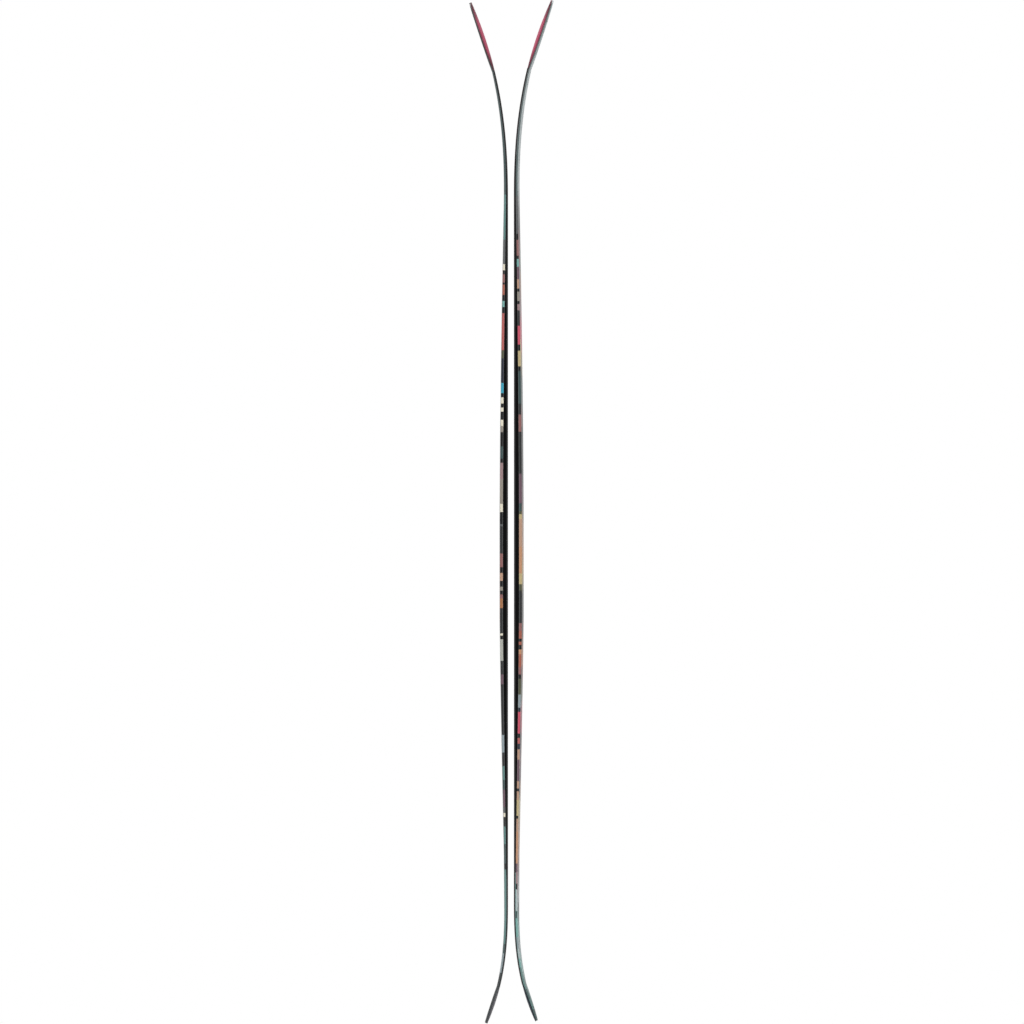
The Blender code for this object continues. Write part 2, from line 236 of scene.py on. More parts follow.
RIGHT_GRAPHIC = (
    (0.000, "petrol"), (0.024, "teal"), (0.042, "petrol"), (0.059, "teal"), (0.098, "light teal"),
    (0.112, "mist"), (0.130, "haze"), (0.151, "light teal"), (0.184, "petrol"), (0.196, "mist"),
    (0.234, "ink"), (0.246, "dusty"), (0.267, "plum"), (0.281, "orange"), (0.337, "tan"), (0.361, "ink"),
    (0.366, "khaki"), (0.394, "tan"), (0.407, "ink"), (0.413, "tan"), (0.425, "plum"), (0.464, "tan"),
    (0.483, "navy"), (0.493, "coral"), (0.502, "ink"), (0.510, "crimson"), (0.549, "navy"), (0.556, "haze"),
    (0.578, "olive"), (0.606, "ink"), (0.613, "rose"), (0.627, "terracotta"), (0.651, "orange"),
    (0.658, "ink"), (0.665, "terracotta"), (0.672, "ink"), (0.676, "terracotta"), (0.692, "rose"),
    (0.704, "graphite"), (0.762, "olive"), (0.773, "khaki"), (0.791, "orange"), (0.838, "tan"),
    (0.888, "khaki"), (0.896, "olive"), (0.901, "petrol"), (0.916, "plum"), (0.969, "graphite"),
    (1.043, "rose"), (1.071, "graphite"), (1.092, "petrol"), (1.148, "ink"), (1.156, "khaki"),
    (1.184, "ink"), (1.194, "crimson"), (1.227, "graphite"), (1.256, "dusty"), (1.266, "ink"),
    (1.273, "taupe"), (1.289, "ink"), (1.293, "tan"), (1.310, "plum"), (1.332, "light teal"),
    (1.346, "ink"), (1.353, "rose"), (1.381, "ink"), (1.391, "slate"), (1.458, "mist"), (1.730, "mint"),
    (1.760, "mist"),
)  # fmt: skip

GRAPHICS = {"left": LEFT_GRAPHIC, "right": RIGHT_GRAPHIC}
SPACER_INKS = {"left": ("graphite", "petrol"), "right": ("slate", "teal")}  # tip and tail
TIP_RIMS = {"left": (1.688, "ink"), "right": (1.458, "petrol")}  # the folded side is darker round the tip
FADE = 0.034  # length over which an inlay's ink fades at each end
RAMP_STOPS = 32  # patches in one colour ramp, which holds at most 32


# ---- Node trees written as formulas ----


def add(tree, kind, values=None, **settings):
    """A node with these settings, and with values or links on its named inputs."""
    node = tree.nodes.new(kind)
    for name, value in settings.items():
        setattr(node, name, value)
    for name, value in (values or {}).items():
        feed(tree, node.inputs[name], value)
    return node


def feed(tree, socket, value):
    if isinstance(value, Field):
        tree.links.new(value.socket, socket)
    elif isinstance(value, bpy.types.NodeSocket):
        tree.links.new(value, socket)
    else:
        socket.default_value = value


def operation(kind, swapped=False):
    """A method that works out this operation on a field and another value."""

    def method(self, other):
        return self.sum_of(kind, other, self) if swapped else self.sum_of(kind, self, other)

    return method


class Field:
    """A number in a node tree. A formula written with it adds the nodes that work it out."""

    def __init__(self, tree, socket):
        self.tree, self.socket = tree, socket

    def sum_of(self, kind, *values, clamped=False):
        node = add(self.tree, "ShaderNodeMath", operation=kind, use_clamp=clamped)
        for socket, value in zip(node.inputs, values):
            feed(self.tree, socket, value)
        return Field(self.tree, node.outputs[0])

    def clamped(self):
        return self.sum_of("ADD", self, 0.0, clamped=True)

    def call(self, kind):
        return self.sum_of(kind, self)

    __add__ = __radd__ = operation("ADD")
    __sub__, __rsub__ = operation("SUBTRACT"), operation("SUBTRACT", swapped=True)
    __mul__, __truediv__ = operation("MULTIPLY"), operation("DIVIDE")
    __pow__, __mod__ = operation("POWER"), operation("MODULO")
    __gt__, least, most = operation("GREATER_THAN"), operation("MINIMUM"), operation("MAXIMUM")


# ---- Geometry nodes: one ski layer, from its section and the rules of the ski ----


def half_width(form, z):
    ahead = (z - form.waist_at).most(0.0) / (form.tip_flare_at - form.waist_at)
    behind = (form.waist_at - z).most(0.0) / (form.waist_at - form.tail_flare_at)
    full = form.waist * 0.5 + form.tip_flare * ahead * ahead + form.tail_flare * behind * behind
    return full * rounded(form, z, form.tail_round) * rounded(form, form.length - z, form.tip_round)


def rounded(form, distance, length):
    """Share of the full width at this distance from the end."""
    near = 1.0 - (distance.most(form.nose_cut) / length).clamped()
    return (1.0 - near ** form.round_power).call("SQRT")


def rise_and_lean(form, z):
    """Height of the running surface and its angle to the ski's length."""
    tip_rise, tip_slope = rocker(form, "tip", z - form.length + form.tip_rocker)
    tail_rise, tail_slope = rocker(form, "tail", form.tail_rocker - z)
    return tip_rise + tail_rise, (tip_slope - tail_slope).call("ARCTANGENT")


def rocker(form, end, beyond):
    """Height and slope of a turned-up end, this far beyond the place where it begins."""
    length, rise, power = (getattr(form, f"{end}_{name}") for name in ("rocker", "rise", "power"))
    share = (beyond / length).most(0.0)
    return rise * share ** power, rise / length * power * share ** (power - 1.0)


def thickness(form, z):
    """Thickness of the ski, thinning from the level stretch to the contacts and on to both ends."""
    ahead = way(z, form.level_to, form.front_at) ** form.front_power
    shovel = way(z, form.front_at, form.tip_wing_at)
    behind = way(z, form.level_from, form.rear_at) ** form.rear_power
    tail = ((form.rear_at - z) / form.rear_at).clamped()
    thick = form.middle - (form.middle - form.front) * ahead - (form.front - form.tip) * shovel
    return thick - (form.middle - form.rear) * behind - (form.rear - form.tail) * tail


def way(z, start, end):
    """Share of the way from start to end, from 0 to 1."""
    return ((z - start) / (end - start)).clamped()


def wing_lift(form, z):
    """How far the rims of both ends lift off the running surface."""
    tip, tail = way(z, form.length, form.tip_wing_at), (z / form.tail_wing_at).clamped()
    tip, tail = (((part * math.pi).call("SINE").most(0.0)) ** form.lift_power for part in (tip, tail))
    return form.tip_lift * tip + form.tail_lift * tail


def named(tree, name, data_type="FLOAT"):
    node = add(tree, "GeometryNodeInputNamedAttribute", {"Name": name}, data_type=data_type)
    return Field(tree, node.outputs["Attribute"])


def store(tree, geometry, name, value, data_type="FLOAT"):
    values = {"Geometry": geometry, "Name": name, "Value": value}
    node = add(tree, "GeometryNodeStoreNamedAttribute", values, data_type=data_type, domain="POINT")
    return node.outputs["Geometry"]


def parts_of(tree, vector):
    node = add(tree, "ShaderNodeSeparateXYZ", {0: vector})
    return [Field(tree, socket) for socket in node.outputs]


def walls(tree, section, start, end, steps):
    """A grid with a row for each place along the ski, and the section's values on every row."""
    size = add(tree, "GeometryNodeAttributeDomainSize", {"Geometry": section})
    count = Field(tree, size.outputs["Point Count"])
    columns = count + 1.0
    grid = add(tree, "GeometryNodeMeshGrid", {"Vertices X": steps + 1.0, "Vertices Y": columns})
    index = Field(tree, add(tree, "GeometryNodeInputIndex").outputs[0])
    row = (index / columns + 1e-4).call("FLOOR")
    point = (index - row * columns) % count
    share = (1.0 - (row / steps * math.pi).call("COSINE")) * 0.5
    sheet = store(tree, grid.outputs["Mesh"], "along", start + (end - start) * share)
    for name, data_type in RULES:
        values = {"Geometry": section, "Value": named(tree, name, data_type), "Index": point}
        picked = add(tree, "GeometryNodeSampleIndex", values, data_type=data_type, domain="POINT")
        sheet = store(tree, sheet, name, picked.outputs["Value"], data_type)
    return sheet


def layer_tree():
    """The tree that lofts any layer. Section is the outline as one face, with across and height rules."""
    tree = bpy.data.node_groups.new("Ski Layer", "GeometryNodeTree")
    floats = ["Start", "End", "Side", "Offset", "Turn", "Raised"]
    floats += [label_of(SkiForm, name) for name in sizes_of(SkiForm)]
    kinds = {"Section": "Geometry", "Steps": "Int", "Finish": "Material", **dict.fromkeys(floats, "Float")}
    for name, kind in kinds.items():
        tree.interface.new_socket(name, in_out="INPUT", socket_type=f"NodeSocket{kind}")
    tree.interface.new_socket("Layer", in_out="OUTPUT", socket_type="NodeSocketGeometry")
    given = tree.nodes.new("NodeGroupInput").outputs
    sizes = {name: Field(tree, given[label_of(SkiForm, name)]) for name in sizes_of(SkiForm)}
    form = SimpleNamespace(**sizes)
    start, end, steps = (Field(tree, given[name]) for name in ("Start", "End", "Steps"))

    joined = tree.nodes.new("GeometryNodeJoinGeometry")
    tree.links.new(walls(tree, given["Section"], start, end, steps), joined.inputs[0])
    for place in (start, end):
        tree.links.new(store(tree, given["Section"], "along", place), joined.inputs[0])

    z = named(tree, "along")
    width, thick = half_width(form, z), thickness(form, z)
    rise, lean = rise_and_lean(form, z)
    fold = (form.cap_fold + form.cap_share * thick).least(thick - form.cap_clearance)
    fold = fold.most(form.cap_least)
    ahead = z > form.waist_at
    wing = form.tail_wing + (form.tip_wing - form.tail_wing) * ahead
    wing = wing.least(form.wing_share * width)

    by_width, by_metre, by_fold = parts_of(tree, named(tree, "across", "FLOAT_VECTOR"))
    y = by_width * width + by_metre + by_fold * fold
    by_thick, level, by_fold = parts_of(tree, named(tree, "height", "FLOAT_VECTOR"))
    on_wing = ((y.call("ABSOLUTE") - width + wing) / wing).clamped()
    n = by_thick * thick + level + by_fold * fold + wing_lift(form, z) * on_wing

    side, turn = Field(tree, given["Side"]), Field(tree, given["Turn"])
    out = side * (rise + n * lean.call("COSINE"))
    up = z - n * lean.call("SINE") + Field(tree, given["Raised"])
    x = side * Field(tree, given["Offset"]) + out * turn.call("COSINE") + y * turn.call("SINE")
    y = y * turn.call("COSINE") - out * turn.call("SINE")
    place = add(tree, "ShaderNodeCombineXYZ", {"X": x, "Y": y, "Z": up})
    layer = joined.outputs[0]
    for kind, values in (
        ("GeometryNodeSetPosition", {"Position": place.outputs[0]}),
        ("GeometryNodeMergeByDistance", {"Distance": WELD}),
        ("GeometryNodeRealizeInstances", {}),
        ("GeometryNodeSetMaterial", {"Material": given["Finish"]}),
    ):
        layer = add(tree, kind, {"Geometry": layer, **values}).outputs[0]
    tree.links.new(layer, tree.nodes.new("NodeGroupOutput").inputs[0])
    return tree


def sizes_of(group):
    return list(group.__annotations__)


def label_of(group, name):
    return group.bl_rna.properties[name].name


# ---- Sections: each point has an across rule, a height rule and a zone ----
# across is (share of the half-width, metres, share of the cap's side height)
# height is (share of the thickness, metres, share of the cap's side height)


def at(across, height, zone=ZONE_CUT):
    return across, height, zone


def from_rim(inset, fold=0.0):
    return (1.0, -inset, fold)


def rim(height):
    return at(from_rim(0.0), level(height), ZONE_SIDE)


def share(part):
    return (part, 0.0, 0.0)


def level(height):
    return (0.0, height, 0.0)


def depth(below):
    return (1.0, -below, 0.0)


def over_foot(rise):
    return (1.0, rise, -1.0)


def flipped(points):
    """The same points on the other side of the centre line."""
    return [((-a[0], -a[1], -a[2]), height, zone) for a, height, zone in points]


def mirrored(half):
    """A whole section from its +Y half, which runs from the lower to the upper side."""
    return half + flipped(reversed(half))


def spread(parts, height, zone=ZONE_CUT):
    """Points across the flat of a layer, so that it can follow the bevelled rim."""
    return [at(share(part), height, zone) for part in parts]


INWARD = (0.97, 0.93, 0.88, 0.82, 0.74, 0.64, 0.45, 0.20)
OUTWARD = INWARD[::-1]
CAP_INWARD = INWARD[2:]


def base_section(layers):
    inset = layers.edge + layers.joint
    return mirrored([at(from_rim(inset), level(0.0), ZONE_TOP), at(from_rim(inset), level(layers.base))])


def inlay_section(layers):
    """The tip's or tail's base sheet, with a broken corner round its rim."""
    high = layers.base + layers.glue + layers.foil
    cut = layers.chamfer
    half = spread(OUTWARD, level(0.0), ZONE_TOP)
    half += [at(from_rim(cut * 1.6), level(0.0), ZONE_TOP), at(from_rim(cut), level(0.0), ZONE_SIDE)]
    half += [rim(cut), rim(high)]
    return mirrored(half + spread(INWARD, level(high)))


def edge_section(layers):
    flange_low = layers.base + layers.glue
    high = flange_low + layers.foil
    cut = layers.chamfer / 2
    return [
        at(from_rim(layers.edge), level(0.0), ZONE_TOP), at(from_rim(cut), level(0.0), ZONE_TOP),
        rim(cut), rim(high),
        at(from_rim(layers.flange), level(high)), at(from_rim(layers.flange), level(flange_low)),
        at(from_rim(layers.edge), level(flange_low)),
    ]  # fmt: skip


def fold_point(layers, deep, part):
    """A point of the folded side, this deep under the outer surface: part 0 is its foot, 1 its shoulder."""
    foot_in = deep * math.hypot(1.0, layers.slant)
    in_metres = foot_in - part * layers.slant * deep
    across = (1.0, -in_metres, -part * layers.slant)
    height = (1.0, -part * deep, part - 1.0)
    return across, height


def core_room(layers):
    """Height of the lower laminate's upper face, and depth of the upper one's lower face."""
    low = layers.base + 3 * layers.glue + layers.foil + layers.laminate
    return low, layers.topsheet + 2 * layers.glue + layers.laminate


def under_cap(layers):
    """Outline from the lower rim up the side and under the cap's foot, to its shoulder."""
    low, deep = core_room(layers)
    foot, shoulder = fold_point(layers, deep, 0.0), fold_point(layers, deep, 1.0)
    return [
        rim(low), at(from_rim(0.0), over_foot(0.0), ZONE_SIDE),
        at(*foot), at(*shoulder),
    ]  # fmt: skip


def sidewall_section(layers):
    low, deep = core_room(layers)
    inner = from_rim(layers.sidewall)
    return [at(inner, level(low)), *under_cap(layers), at(inner, depth(deep))]


def spacer_section(layers):
    low, deep = core_room(layers)
    below = spread(OUTWARD, level(low))
    above = spread(CAP_INWARD, depth(deep))
    return mirrored(below + under_cap(layers) + above)


def lower_laminate_section(layers):
    """Glass fibre with the resin on both its faces, so no light passes between the layers."""
    low = layers.base + layers.glue + layers.foil
    high = low + layers.laminate + 2 * layers.glue
    half = spread(OUTWARD, level(low))
    half += [rim(low), rim(high)]
    return mirrored(half + spread(INWARD, level(high)))


def upper_laminate_section(layers):
    """Glass fibre under the cap, with the resin on both its faces."""
    outer = layers.topsheet
    inner = outer + layers.laminate + 2 * layers.glue
    inside = spread(CAP_INWARD[::-1], depth(inner))
    inside += [at(*fold_point(layers, inner, 1.0)), at(*fold_point(layers, inner, 0.0))]
    outside = [at(*fold_point(layers, outer, 0.0), ZONE_SIDE), at(*fold_point(layers, outer, 1.0))]
    return mirrored(inside + outside + spread(CAP_INWARD, depth(outer)))


def topsheet_section(layers):
    """The cap: a cut lip at the foot, drawn pale partly as a painted highlight, the printed side, a rounded
    shoulder and the top.
    """
    deep, slant, lip, soft = layers.topsheet, layers.slant, layers.lip, layers.shoulder
    inside = spread(CAP_INWARD[::-1], depth(deep))
    inside += [at(*fold_point(layers, deep, 1.0)), at(*fold_point(layers, deep, 0.0))]
    side = [
        at(from_rim(0.0), over_foot(0.0), ZONE_LIP),
        at(from_rim(lip * slant), over_foot(lip), ZONE_LIP),
        at(from_rim(lip * slant * 1.1), over_foot(lip * 1.1), ZONE_SIDE),
        at(from_rim(-slant * soft * 0.7, -slant), depth(soft * 0.7), ZONE_SIDE),
        at(from_rim(-slant * soft * 0.2, -slant), depth(soft * 0.25), ZONE_SIDE),
        at(from_rim(soft * 0.25, -slant), depth(soft * 0.04), ZONE_TOP),
        at(from_rim(soft * 0.8, -slant), depth(0.0), ZONE_TOP),
    ]
    return mirrored(inside + side + spread(CAP_INWARD, depth(0.0), ZONE_TOP))


def section_mesh(section):
    """The section as one face whose corners carry their rules."""
    mesh = bpy.data.meshes.new("section")
    corners = [(math.cos(i), math.sin(i), 0.0) for i in range(len(section))]
    mesh.from_pydata(corners, [], [range(len(section))])
    for name, data_type in RULES:
        mesh.attributes.new(name, data_type, "POINT")
    for i, (across, height, zone) in enumerate(section):
        mesh.attributes["across"].data[i].vector = across
        mesh.attributes["height"].data[i].vector = height
        mesh.attributes["zone"].data[i].value = zone
    return mesh


def loft(context, ski, name, section, start, end, finish, side=1):
    """One layer of one ski as a plain mesh, in place of the CAD node of that name."""
    if side < 0:
        section = flipped(section)
    whole = f"{ski}_{name}"
    form = context.scene.ski_form
    stand = bpy.data.objects.new("section", section_mesh(section))
    context.scene.collection.objects.link(stand)
    tree = bpy.data.node_groups.get("Ski Layer") or layer_tree()
    modifier = stand.modifiers.new("Ski Layer", "NODES")
    modifier.node_group = tree
    given = {
        "Start": start, "End": end, "Side": float(SIDES[ski]), "Offset": OFFSETS[ski],
        "Turn": SIDES[ski] * TURNS[ski], "Raised": RAISED[ski], "Finish": finish,
        "Steps": max(int(ALONG_STEPS * math.sqrt((end - start) / form.length)), LEAST_STEPS),
    }  # fmt: skip
    given.update({label_of(SkiForm, size): getattr(form, size) for size in sizes_of(SkiForm)})
    for item in tree.interface.items_tree:
        if item.in_out == "INPUT" and item.name in given:
            modifier[item.identifier] = given[item.name]
    context.view_layer.update()
    lofted = stand.evaluated_get(context.evaluated_depsgraph_get())
    mesh = bpy.data.meshes.new_from_object(lofted)
    bpy.data.objects.remove(stand)
    tidy(mesh)
    piece = bpy.data.objects.new(f"{whole}_layer", mesh)
    context.scene.collection.objects.link(piece)
    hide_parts(whole)
    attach(piece, f"{ski}_ski")


def tidy(mesh):
    """Faces outwards, soft along the ski and crisp at its corners."""
    work = bmesh.new()
    work.from_mesh(mesh)
    bmesh.ops.recalc_face_normals(work, faces=work.faces)
    work.to_mesh(mesh)
    work.free()
    mesh.shade_smooth()
    mesh.set_sharp_from_angle(angle=CRISP)


def frame_slot(node):
    return next(s["material_slot"] for s in frame["record"]["subparts"] if s["node"] == node)


# ---- Finishes ----

COAT_ROUGHNESS = 0.08
RELIEF = 0.4  # strength of every finish's bumps
FACETS = {"Scale": 21.0, "Randomness": 0.9}  # of the mosaic on the tops
FACET_STRETCH = 1.25  # facets are longer along the ski than across it
SEAM = 0.011  # reach of the dark line between two facets
TONE = 0.4  # how much paler the palest facets are
PALE = (0.36, 0.37, 0.35)  # what they are mixed with
HATCH_PITCH, HATCH_LINE = 1700.0, 0.72  # lines where the sine of the place is over HATCH_LINE
HATCH_LEAN = 3.0  # how far the hatching turns from one facet to the next
HATCHED_FROM = 0.62  # facets of a higher tone are hatched
RAGGED = 0.0012  # how far a patch's border wanders
WHITE_SCRATCH = (0.7, 0.7, 0.7)


def new_finish(name, metallic=0.0, coat=0.0, specular=0.5):
    """A material and its node tree."""
    material = bpy.data.materials.new(name)
    material.use_nodes = True
    inputs = shader_inputs(material)
    inputs["Metallic"].default_value = metallic
    inputs["Coat Weight"].default_value = coat
    inputs["Coat Roughness"].default_value = COAT_ROUGHNESS
    inputs["Specular IOR Level"].default_value = specular
    return material, material.node_tree


def shader_inputs(material):
    return material.node_tree.nodes["Principled BSDF"].inputs


def object_place(tree):
    return Field(tree, add(tree, "ShaderNodeTexCoord").outputs["Object"])


def attribute(tree, name):
    return Field(tree, add(tree, "ShaderNodeAttribute", attribute_name=name).outputs["Fac"])


def mix(tree, factor, first, second, blend="MIX"):
    """Two colours, or a colour and a Field, mixed."""
    node = add(tree, "ShaderNodeMix", data_type="RGBA", blend_type=blend)
    feed(tree, node.inputs[0], factor)
    feed(tree, node.inputs[6], with_alpha(first))
    feed(tree, node.inputs[7], with_alpha(second))
    return Field(tree, node.outputs[2])


def with_alpha(value):
    return value if isinstance(value, (Field, bpy.types.NodeSocket)) else (*value, 1.0)


def noise(tree, place, scale, stretch=(1.0, 1.0, 1.0), detail=3.0):
    """Noise over a place that is first stretched along each axis."""
    mapped = add(tree, "ShaderNodeMapping", {"Vector": place, "Scale": stretch})
    node = add(tree, "ShaderNodeTexNoise", {"Vector": mapped.outputs[0], "Scale": scale, "Detail": detail})
    return Field(tree, node.outputs[0])


def group_tree(name, inputs, outputs):
    """A shader node group with these float inputs, and its outputs' sockets."""
    tree = bpy.data.node_groups.new(name, "ShaderNodeTree")
    tree.interface.new_socket("Place", in_out="INPUT", socket_type="NodeSocketVector")
    for label, value in inputs.items():
        tree.interface.new_socket(label, in_out="INPUT", socket_type="NodeSocketFloat").default_value = value
    for label in outputs:
        tree.interface.new_socket(label, in_out="OUTPUT", socket_type="NodeSocketFloat")
    given = tree.nodes.new("NodeGroupInput").outputs
    fields = {label: Field(tree, given[label]) for label in ("Place", *inputs)}
    return tree, fields, tree.nodes.new("NodeGroupOutput")


def handling_group():
    """Soft blotches and fine scratches along the ski, as masks from 0 to 1."""
    sizes = {"Blotch Size": 14.0, "Scratch Size": 60.0}
    tree, given, out = group_tree("Handling Marks", sizes, ("Blotch", "Scratch"))
    blotch = noise(tree, given["Place"], given["Blotch Size"], (1.0, 1.0, 0.5))
    fine = noise(tree, given["Place"], given["Scratch Size"], (1.0, 6.0, 0.06), 2.0)
    feed(tree, out.inputs["Blotch"], blotch)
    feed(tree, out.inputs["Scratch"], ((fine - 0.62) * 9.0).clamped())
    return tree


def milling_group():
    """Close parallel tool marks along or across the ski, as a height."""
    values = {"Pitch": 900.0, "Lean": 0.0, "Unevenness": 0.6}
    tree, given, out = group_tree("Tool Marks", values, ("Height",))
    _, y, z = parts_of(tree, given["Place"])
    wander = noise(tree, given["Place"], 40.0) * given["Unevenness"]
    line = ((z + y * given["Lean"]) * given["Pitch"] + wander * 6.0).call("SINE")
    feed(tree, out.inputs["Height"], line * 0.5 + 0.5)
    return tree


def weave_group():
    """Crossed fibre bundles, as a mask."""
    tree, given, out = group_tree("Glass Weave", {"Bundle": 1500.0}, ("Weave",))
    _, y, z = parts_of(tree, given["Place"])
    warp = ((y + z) * given["Bundle"]).call("SINE")
    weft = ((y - z) * given["Bundle"]).call("SINE")
    feed(tree, out.inputs["Weave"], (warp * weft * 0.5 + 0.5).clamped())
    return tree


def use(tree, make, name, place, **values):
    """A shader group placed in a material, built the first time it is used."""
    group = bpy.data.node_groups.get(name) or make()
    node = add(tree, "ShaderNodeGroup", node_tree=group)
    feed(tree, node.inputs["Place"], place)
    for label, value in values.items():
        feed(tree, node.inputs[label.replace("_", " ")], value)
    return {output.name: Field(tree, output) for output in node.outputs}


def dressed(material, shown, roughness, height, distance):
    """The material with its colour, roughness and relief."""
    tree, inputs = material.node_tree, shader_inputs(material)
    relief = add(tree, "ShaderNodeBump", {"Height": height, "Distance": distance, "Strength": RELIEF})
    feed(tree, inputs["Base Color"], shown)
    feed(tree, inputs["Roughness"], roughness)
    feed(tree, inputs["Normal"], relief.outputs["Normal"])
    return material


def patches(tree, z, graphic):
    """The ink at each place along the ski: ramps of up to RAMP_STOPS patches, one after the other."""
    result = None
    for first in range(0, len(graphic), RAMP_STOPS):
        rows, rest = graphic[first:first + RAMP_STOPS], graphic[first + RAMP_STOPS:]
        low = rows[0][0]
        high = rest[0][0] if rest else TIP_END + RAISED["right"]
        node = add(tree, "ShaderNodeValToRGB", {"Fac": (z - low) / (high - low)})
        ramp = node.color_ramp
        ramp.interpolation = "CONSTANT"
        while len(ramp.elements) > 1:
            ramp.elements.remove(ramp.elements[-1])
        for start, ink in rows:
            place = (start - low) / (high - low)
            stop = ramp.elements[0] if start == low else ramp.elements.new(place)
            stop.position = place
            stop.color = (*INKS[ink], 1.0)
        found = Field(tree, node.outputs["Color"])
        result = found if result is None else mix(tree, z > low, result, found)
    return result


def printed_finish(ski, colours):
    """The topsheet: inked patches that run true along the side and break into facets over the top."""
    material, tree = new_finish(f"printed topsheet {ski}", coat=0.1, specular=0.3)
    place = object_place(tree)
    _, y, z = parts_of(tree, place)
    zone = attribute(tree, "zone")
    flat = add(tree, "ShaderNodeCombineXYZ", {"Y": y * FACET_STRETCH, "Z": z})
    values = {"Vector": flat.outputs[0], **FACETS}
    facets = add(tree, "ShaderNodeTexVoronoi", values)
    seams = add(tree, "ShaderNodeTexVoronoi", values, feature="DISTANCE_TO_EDGE")
    cell = parts_of(tree, facets.outputs["Position"])[2]
    tone = parts_of(tree, facets.outputs["Color"])[0]
    on_side, lip = zone > OFF_TOP, zone > OFF_SIDE
    ragged = noise(tree, place, 900.0) * RAGGED - RAGGED / 2
    ink = patches(tree, cell + (z + ragged - cell) * on_side, GRAPHICS[ski])
    grain = noise(tree, place, 260.0)
    toned = mix(tree, tone * TONE, ink, mix(tree, 0.5, ink, PALE))
    deep = mix(tree, 0.45, ink, INKS["ink"])
    hatch = ((z + y * (tone * HATCH_LEAN - HATCH_LEAN / 2)) * HATCH_PITCH).call("SINE") > HATCH_LINE
    hatched = mix(tree, hatch * (tone > HATCHED_FROM) * 0.8, toned, deep)
    specked = mix(tree, ((grain - 0.52) * 3.0).clamped() * 0.35, hatched, deep)
    seam = 1.0 - (Field(tree, seams.outputs["Distance"]) > SEAM)
    top = mix(tree, seam * 0.9, specked, INKS["ink"])
    marks = use(tree, handling_group, "Handling Marks", place)
    rim_from, rim_ink = TIP_RIMS[ski]
    side = mix(tree, (z > rim_from) * 0.9, ink, INKS[rim_ink])
    # The lip is mixed towards the pale cut colour: partly the cut edge, partly a painted highlight along the
    # cap's foot
    shown = mix(tree, lip * 0.15, mix(tree, on_side, top, side), colours.cut)
    scratched = mix(tree, marks["Scratch"] * 0.02, shown, WHITE_SCRATCH)
    rough = 0.22 + tone * 0.14 * (1.0 - on_side) + marks["Blotch"] * 0.14
    rough = rough + marks["Scratch"] * 0.2 + lip * 0.2
    return dressed(material, scratched, rough, noise(tree, place, 700.0), 0.00004)


def base_finish(colours):
    """Sintered sheet with a fine crosswise stone grind."""
    material, tree = new_finish("sintered base", specular=0.15)
    place = object_place(tree)
    marks = use(tree, handling_group, "Handling Marks", place)
    grind = use(tree, milling_group, "Tool Marks", place, Pitch=2600.0, Lean=9.0)
    pale = mix(tree, marks["Blotch"] * 0.25, colours.base, (0.05, 0.05, 0.055))
    shown = mix(tree, marks["Scratch"] * 0.2, pale, (0.12, 0.12, 0.13))
    return dressed(material, shown, 0.34 + marks["Blotch"] * 0.2, grind["Height"], 0.00003)


def inlay_finish(name, ink, start, end):
    """A coloured base sheet whose ink fades to smoke towards its two ends; its rim is drawn at half the ink,
    a painted shade.
    """
    material, tree = new_finish(name, specular=0.1)
    place = object_place(tree)
    marks = use(tree, handling_group, "Handling Marks", place)
    grind = use(tree, milling_group, "Tool Marks", place, Pitch=2600.0, Lean=9.0)
    z = parts_of(tree, place)[2]
    inner, outer = ((z - start) / FADE).clamped(), ((end - z) / FADE).clamped()
    smoke = tuple(0.06 * c + 0.02 for c in ink)
    # Painted shade: the rim of the sheet gets half the ink, a darker copy of its running face
    sheet = mix(tree, attribute(tree, "zone") > OFF_TOP, ink, tuple(0.5 * c for c in ink))
    faded = mix(tree, (inner * outer) ** 1.6, smoke, sheet)
    handled = mix(tree, marks["Blotch"] * 0.35, faded, tuple(0.6 * c for c in ink))
    shown = mix(tree, marks["Scratch"] * 0.06, handled, (0.5, 0.45, 0.45))
    return dressed(material, shown, 0.42 + marks["Blotch"] * 0.16, grind["Height"], 0.00002)


def steel_finish(colours):
    """Ground steel with file marks and a little tarnish; its near-black colour is painted shade, not the
    grey of bright steel.
    """
    material, tree = new_finish("ground steel", metallic=1.0)
    place = object_place(tree)
    marks = use(tree, handling_group, "Handling Marks", place, Blotch_Size=30.0)
    file_marks = use(tree, milling_group, "Tool Marks", place, Pitch=5200.0)
    ground = mix(tree, marks["Blotch"] * 0.7, colours.steel, (0.034, 0.031, 0.029))
    shown = mix(tree, marks["Scratch"] * 0.05, ground, (0.6, 0.6, 0.6))
    return dressed(material, shown, 0.20 + marks["Blotch"] * 0.16, file_marks["Height"], 0.00002)


def plastic_finish(name, ink, pitch):
    """Milled plastic."""
    material, tree = new_finish(name, specular=0.04)
    place = object_place(tree)
    marks = use(tree, handling_group, "Handling Marks", place)
    milled = use(tree, milling_group, "Tool Marks", place, Pitch=pitch)
    worn = tuple(1.4 * c + 0.003 for c in ink)
    pale = mix(tree, marks["Blotch"] * 0.4, ink, worn)
    shown = mix(tree, marks["Scratch"] * 0.04, pale, (0.3, 0.3, 0.3))
    return dressed(material, shown, 0.42 + marks["Blotch"] * 0.2, milled["Height"], 0.00003)


def laminate_finish(colours):
    material, tree = new_finish("glass laminate", coat=0.2)
    place = object_place(tree)
    weave = use(tree, weave_group, "Glass Weave", place)["Weave"]
    deep = (0.10, 0.11, 0.08)
    zone = attribute(tree, "zone")
    woven = mix(tree, weave * 0.7, deep, colours.glass)
    stained = mix(tree, (zone > OFF_TOP) * (1.0 - (zone > OFF_SIDE)), woven, colours.black)
    return dressed(material, stained, 0.55 - weave * 0.2, weave, 0.00005)


